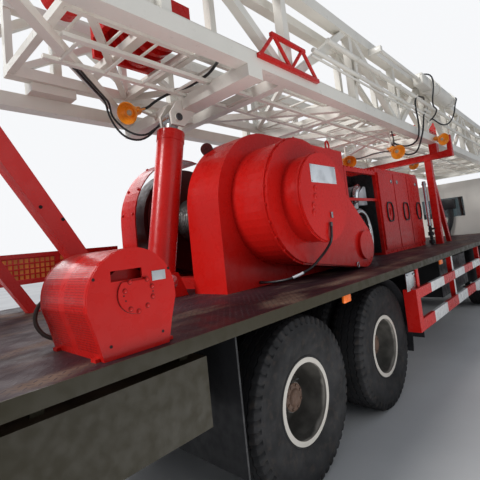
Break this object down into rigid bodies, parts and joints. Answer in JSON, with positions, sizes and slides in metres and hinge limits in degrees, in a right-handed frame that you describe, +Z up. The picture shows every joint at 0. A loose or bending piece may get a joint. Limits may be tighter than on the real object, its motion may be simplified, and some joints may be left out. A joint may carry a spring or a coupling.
{
  "type": "truck-mounted workover rig",
  "caption": "Well-service rig on a multi-axle carrier, with engine house, drawworks, levelling jacks and a telescoping lattice mast lying over the deck.",
  "frame": {"origin": "on the ground under the middle of the rig's whole length and width", "axes": "+X forward towards the cab, +Y to the carrier's left, +Z up"},
  "size_m": [16.4, 2.8, 4.15],
  "materials": {
    "red_paint": "gloss",
    "ivory_paint": "satin",
    "deck_plate": "satin",
    "olive_paint": "satin",
    "black_steel": "satin",
    "tyre_rubber": "matt",
    "rim_paint": "satin",
    "bare_steel": "brushed",
    "window_glass": "gloss"
  },
  "bodies": {
    "carrier": {"chassis_frame": "black_steel", "steer_axles": "black_steel", "tandem_axles": "black_steel", "cab_shell": "ivory_paint", "cab_glass": "window_glass", "cab_interior": "black_steel", "deck": "deck_plate", "deck_edge": "olive_paint", "side_guards": "red_paint", "engine_house": "red_paint", "powertrain": "bare_steel", "drawworks_frame": "red_paint", "chain_case": "red_paint", "brake_housing": "red_paint", "rear_support": "red_paint", "gantry": "red_paint"},
    "knuckle_1_right": {"knuckle_1_right": "black_steel"},
    "knuckle_1_left": {"knuckle_1_left": "black_steel"},
    "knuckle_2_right": {"knuckle_2_right": "black_steel"},
    "knuckle_2_left": {"knuckle_2_left": "black_steel"},
    "wheel_1_right": {"tyre_1_right": "tyre_rubber", "rim_1_right": "rim_paint"},
    "wheel_1_left": {"tyre_1_left": "tyre_rubber", "rim_1_left": "rim_paint"},
    "wheel_2_right": {"tyre_2_right": "tyre_rubber", "rim_2_right": "rim_paint"},
    "wheel_2_left": {"tyre_2_left": "tyre_rubber", "rim_2_left": "rim_paint"},
    "wheel_3_right": {"tyre_3_right": "tyre_rubber", "rim_3_right": "rim_paint"},
    "wheel_3_left": {"tyre_3_left": "tyre_rubber", "rim_3_left": "rim_paint"},
    "wheel_4_right": {"tyre_4_right": "tyre_rubber", "rim_4_right": "rim_paint"},
    "wheel_4_left": {"tyre_4_left": "tyre_rubber", "rim_4_left": "rim_paint"},
    "cab_door_right": {"cab_door_right": "ivory_paint"},
    "cab_door_left": {"cab_door_left": "ivory_paint"},
    "house_door_1": {"house_door_1": "red_paint"},
    "house_door_2": {"house_door_2": "red_paint"},
    "house_door_3": {"house_door_3": "red_paint"},
    "jack_leg_1": {"jack_leg_1": "bare_steel"},
    "jack_leg_2": {"jack_leg_2": "bare_steel"},
    "jack_leg_3": {"jack_leg_3": "bare_steel"},
    "jack_leg_4": {"jack_leg_4": "bare_steel"},
    "drum": {"drum": "bare_steel"},
    "lower_mast": {"lower_mast_right": "ivory_paint", "lower_mast_left": "ivory_paint", "lower_mast_back": "ivory_paint"},
    "upper_mast": {"upper_mast_right": "ivory_paint", "upper_mast_left": "ivory_paint", "upper_mast_back": "ivory_paint", "crown_block": "ivory_paint"},
    "crown_sheaves": {"crown_sheaves": "bare_steel"},
    "travelling_block": {"travelling_block": "red_paint"},
    "racking_board": {"racking_board": "red_paint"},
    "cylinder_barrel": {"cylinder_barrel": "red_paint"},
    "cylinder_stage_1": {"cylinder_stage_1": "red_paint"},
    "cylinder_stage_2": {"cylinder_stage_2": "red_paint"},
    "cylinder_rod": {"cylinder_rod": "bare_steel"}
  },
  "joints": [
    {"name": "steer_1_right", "type": "hinge", "parent": "carrier", "child": "knuckle_1_right", "pos_m": [2.3, -0.87, 0.56], "axis": [0, 0, 1], "range_deg": [-30, 30]},
    {"name": "steer_1_left", "type": "hinge", "parent": "carrier", "child": "knuckle_1_left", "pos_m": [2.3, 0.87, 0.56], "axis": [0, 0, 1], "range_deg": [-30, 30]},
    {"name": "steer_2_right", "type": "hinge", "parent": "carrier", "child": "knuckle_2_right", "pos_m": [0.6, -0.87, 0.56], "axis": [0, 0, 1], "range_deg": [-22.5, 22.5]},
    {"name": "steer_2_left", "type": "hinge", "parent": "carrier", "child": "knuckle_2_left", "pos_m": [0.6, 0.87, 0.56], "axis": [0, 0, 1], "range_deg": [-22.5, 22.5]},
    {"name": "wheel_1_right_spin", "type": "hinge", "parent": "knuckle_1_right", "child": "wheel_1_right", "pos_m": [2.3, -1.07, 0.56], "axis": [0, 1, 0], "continuous": true},
    {"name": "wheel_1_left_spin", "type": "hinge", "parent": "knuckle_1_left", "child": "wheel_1_left", "pos_m": [2.3, 1.07, 0.56], "axis": [0, 1, 0], "continuous": true},
    {"name": "wheel_2_right_spin", "type": "hinge", "parent": "knuckle_2_right", "child": "wheel_2_right", "pos_m": [0.6, -1.07, 0.56], "axis": [0, 1, 0], "continuous": true},
    {"name": "wheel_2_left_spin", "type": "hinge", "parent": "knuckle_2_left", "child": "wheel_2_left", "pos_m": [0.6, 1.07, 0.56], "axis": [0, 1, 0], "continuous": true},
    {"name": "wheel_3_right_spin", "type": "hinge", "parent": "carrier", "child": "wheel_3_right", "pos_m": [-4.4, -0.917, 0.56], "axis": [0, 1, 0], "continuous": true},
    {"name": "wheel_3_left_spin", "type": "hinge", "parent": "carrier", "child": "wheel_3_left", "pos_m": [-4.4, 0.917, 0.56], "axis": [0, 1, 0], "continuous": true},
    {"name": "wheel_4_right_spin", "type": "hinge", "parent": "carrier", "child": "wheel_4_right", "pos_m": [-5.75, -0.917, 0.56], "axis": [0, 1, 0], "continuous": true},
    {"name": "wheel_4_left_spin", "type": "hinge", "parent": "carrier", "child": "wheel_4_left", "pos_m": [-5.75, 0.917, 0.56], "axis": [0, 1, 0], "continuous": true},
    {"name": "cab_door_right_hinge", "type": "hinge", "parent": "carrier", "child": "cab_door_right", "pos_m": [4.577, -1.264, 1.67], "axis": [0, 0, 1], "range_deg": [0, 75]},
    {"name": "cab_door_left_hinge", "type": "hinge", "parent": "carrier", "child": "cab_door_left", "pos_m": [4.577, 1.264, 1.67], "axis": [0, 0, -1], "range_deg": [0, 75]},
    {"name": "house_door_1_hinge", "type": "hinge", "parent": "carrier", "child": "house_door_1", "pos_m": [-1.82633, -0.562, 1.9], "axis": [0, 0, 1], "range_deg": [0, 90]},
    {"name": "house_door_2_hinge", "type": "hinge", "parent": "carrier", "child": "house_door_2", "pos_m": [-1.21967, -0.562, 1.9], "axis": [0, 0, 1], "range_deg": [0, 90]},
    {"name": "house_door_3_hinge", "type": "hinge", "parent": "carrier", "child": "house_door_3", "pos_m": [-0.613, -0.562, 1.9], "axis": [0, 0, 1], "range_deg": [0, 90]},
    {"name": "jack_1_slide", "type": "slide", "parent": "carrier", "child": "jack_leg_1", "axis": [0, 0, -1], "range_m": [0, 0.43]},
    {"name": "jack_2_slide", "type": "slide", "parent": "carrier", "child": "jack_leg_2", "axis": [0, 0, -1], "range_m": [0, 0.43]},
    {"name": "jack_3_slide", "type": "slide", "parent": "carrier", "child": "jack_leg_3", "axis": [0, 0, -1], "range_m": [0, 0.43]},
    {"name": "jack_4_slide", "type": "slide", "parent": "carrier", "child": "jack_leg_4", "axis": [0, 0, -1], "range_m": [0, 0.43]},
    {"name": "drum_spin", "type": "hinge", "parent": "carrier", "child": "drum", "pos_m": [-5.09, 0, 1.975], "axis": [0, 1, 0], "continuous": true},
    {"name": "mast_raise", "type": "hinge", "parent": "carrier", "child": "lower_mast", "pos_m": [-7.8, 0, 3.135], "axis": [0, -1, 0], "range_deg": [0, 93.5]},
    {"name": "mast_extend", "type": "slide", "parent": "lower_mast", "child": "upper_mast", "axis": [1, 0, 0], "range_m": [0, 11.4]},
    {"name": "crown_sheaves_spin", "type": "hinge", "parent": "upper_mast", "child": "crown_sheaves", "pos_m": [7.78, 0, 3.645], "axis": [0, 1, 0], "continuous": true},
    {"name": "block_travel", "type": "slide", "parent": "lower_mast", "child": "travelling_block", "axis": [1, 0, 0], "range_m": [0, 9]},
    {"name": "racking_board_fold", "type": "hinge", "parent": "upper_mast", "child": "racking_board", "pos_m": [1.8, 0, 4.06], "axis": [0, -1, 0], "range_deg": [0, 90]},
    {"name": "cylinder_tilt", "type": "hinge", "parent": "carrier", "child": "cylinder_barrel", "pos_m": [-6, 0, 1.4], "axis": [0, -1, 0], "range_deg": [0, 34.9]},
    {"name": "cylinder_stage_1_slide", "type": "slide", "parent": "cylinder_barrel", "child": "cylinder_stage_1", "axis": [0.191, 0, 0.9816], "range_m": [0, 0.892]},
    {"name": "cylinder_stage_2_slide", "type": "slide", "parent": "cylinder_stage_1", "child": "cylinder_stage_2", "axis": [0.191, 0, 0.9816], "range_m": [0, 0.892]},
    {"name": "cylinder_rod_slide", "type": "slide", "parent": "cylinder_stage_2", "child": "cylinder_rod", "axis": [0.191, 0, 0.9816], "range_m": [0, 0.892]}
  ],
  "couplings": [
    {"joint": "steer_1_left", "follows": "steer_1_right", "ratio": 1},
    {"joint": "steer_2_right", "follows": "steer_1_right", "ratio": 0.75},
    {"joint": "steer_2_left", "follows": "steer_1_right", "ratio": 0.75},
    {"joint": "cylinder_tilt", "follows": "mast_raise", "ratio": 0.37116},
    {"joint": "cylinder_stage_1_slide", "follows": "mast_raise", "m_per_rad": 0.5456},
    {"joint": "cylinder_stage_2_slide", "follows": "mast_raise", "m_per_rad": 0.5456},
    {"joint": "cylinder_rod_slide", "follows": "mast_raise", "m_per_rad": 0.5456}
  ]
}
